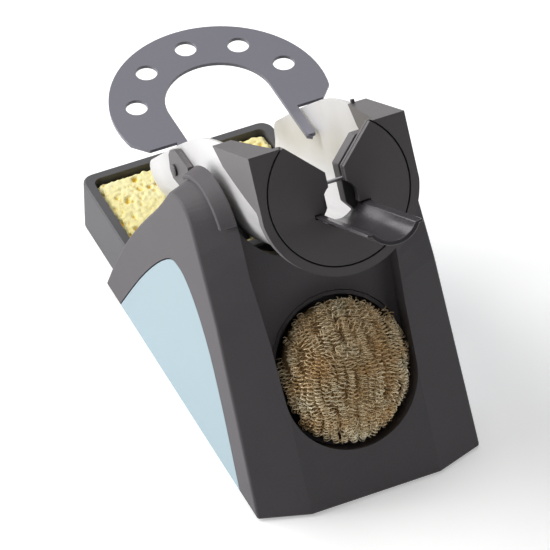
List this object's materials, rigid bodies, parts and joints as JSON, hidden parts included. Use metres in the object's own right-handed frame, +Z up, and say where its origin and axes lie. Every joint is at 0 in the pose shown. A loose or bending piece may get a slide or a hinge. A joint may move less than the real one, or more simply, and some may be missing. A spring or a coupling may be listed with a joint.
{
  "type": "soldering iron stand",
  "caption": "Free-standing soldering iron stand with a tilting iron rest and heat shell, horseshoe tip rack, brass wool pocket and pull-out sponge tray.",
  "frame": {"origin": "on the table, under the middle of the whole stand's box", "axes": "+Z up, -Y towards the user (the sloping front), +X to the stand's right"},
  "size_m": [0.09, 0.1931, 0.1411],
  "materials": {
    "body_plastic": "fine spark-eroded texture, dark grey",
    "holder_plastic": "satin dark grey",
    "trough_plastic": "polished black",
    "inlay_plastic": "fine texture, pale blue",
    "tray_plastic": "fine texture, near black",
    "steel_sheet": "smooth bright sheet",
    "painted_rack": "fine powder coat, grey",
    "screw_steel": "plain",
    "rubber": "matt",
    "brass_wire": "curled flat brass wire, loosely packed",
    "sponge": "open-pored cellulose"
  },
  "bodies": {
    "base": {"base_body": "body_plastic", "bottom_plate": "body_plastic", "side_inlay_left": "inlay_plastic", "side_inlay_right": "inlay_plastic", "pivot_cap_left": "body_plastic", "pivot_cap_right": "body_plastic", "pivot_pin_left": "screw_steel", "pivot_pin_right": "screw_steel", "foot_1": "rubber", "foot_2": "rubber", "foot_3": "rubber", "foot_4": "rubber", "base_screw_1": "screw_steel", "base_screw_2": "screw_steel", "base_screw_3": "screw_steel", "base_screw_4": "screw_steel"},
    "holder": {"holder_frame": "holder_plastic", "rear_guide": "holder_plastic", "gate_wire": "screw_steel", "heat_shell": "steel_sheet", "pivot_boss_left": "holder_plastic", "pivot_boss_right": "holder_plastic", "rack_clip_left": "holder_plastic", "rack_clip_right": "holder_plastic", "clip_rivet_left": "holder_plastic", "clip_rivet_right": "holder_plastic"},
    "insert": {"keyhole_insert": "holder_plastic", "rest_trough": "trough_plastic"},
    "rack": {"tip_rack": "painted_rack"},
    "cup": {"wool_cup": "body_plastic"},
    "wool": {"brass_wool": "brass_wire"},
    "tray": {"sponge_tray": "tray_plastic"},
    "sponge": {"sponge": "sponge"}
  },
  "joints": [
    {"name": "holder_tilt", "type": "hinge", "parent": "base", "child": "holder", "pos_m": [0, -0.0085, 0.0793], "axis": [1, 0, 0], "range_deg": [-8, 10]},
    {"name": "insert_pull", "type": "slide", "parent": "holder", "child": "insert", "axis": [0, -0.8517, 0.524], "range_m": [0, 0.012]},
    {"name": "rack_pull", "type": "slide", "parent": "holder", "child": "rack", "axis": [0, 1, 0], "range_m": [0, 0.03]},
    {"name": "cup_pull", "type": "slide", "parent": "base", "child": "cup", "axis": [0, -0.8572, 0.515], "range_m": [0, 0.018]},
    {"name": "wool_pull", "type": "slide", "parent": "cup", "child": "wool", "axis": [0, -0.8572, 0.515], "range_m": [0, 0.02]},
    {"name": "tray_pull", "type": "slide", "parent": "base", "child": "tray", "axis": [0, 1, 0], "range_m": [0, 0.04]},
    {"name": "sponge_lift", "type": "slide", "parent": "tray", "child": "sponge", "axis": [0, 0, 1], "range_m": [0, 0.008]}
  ]
}
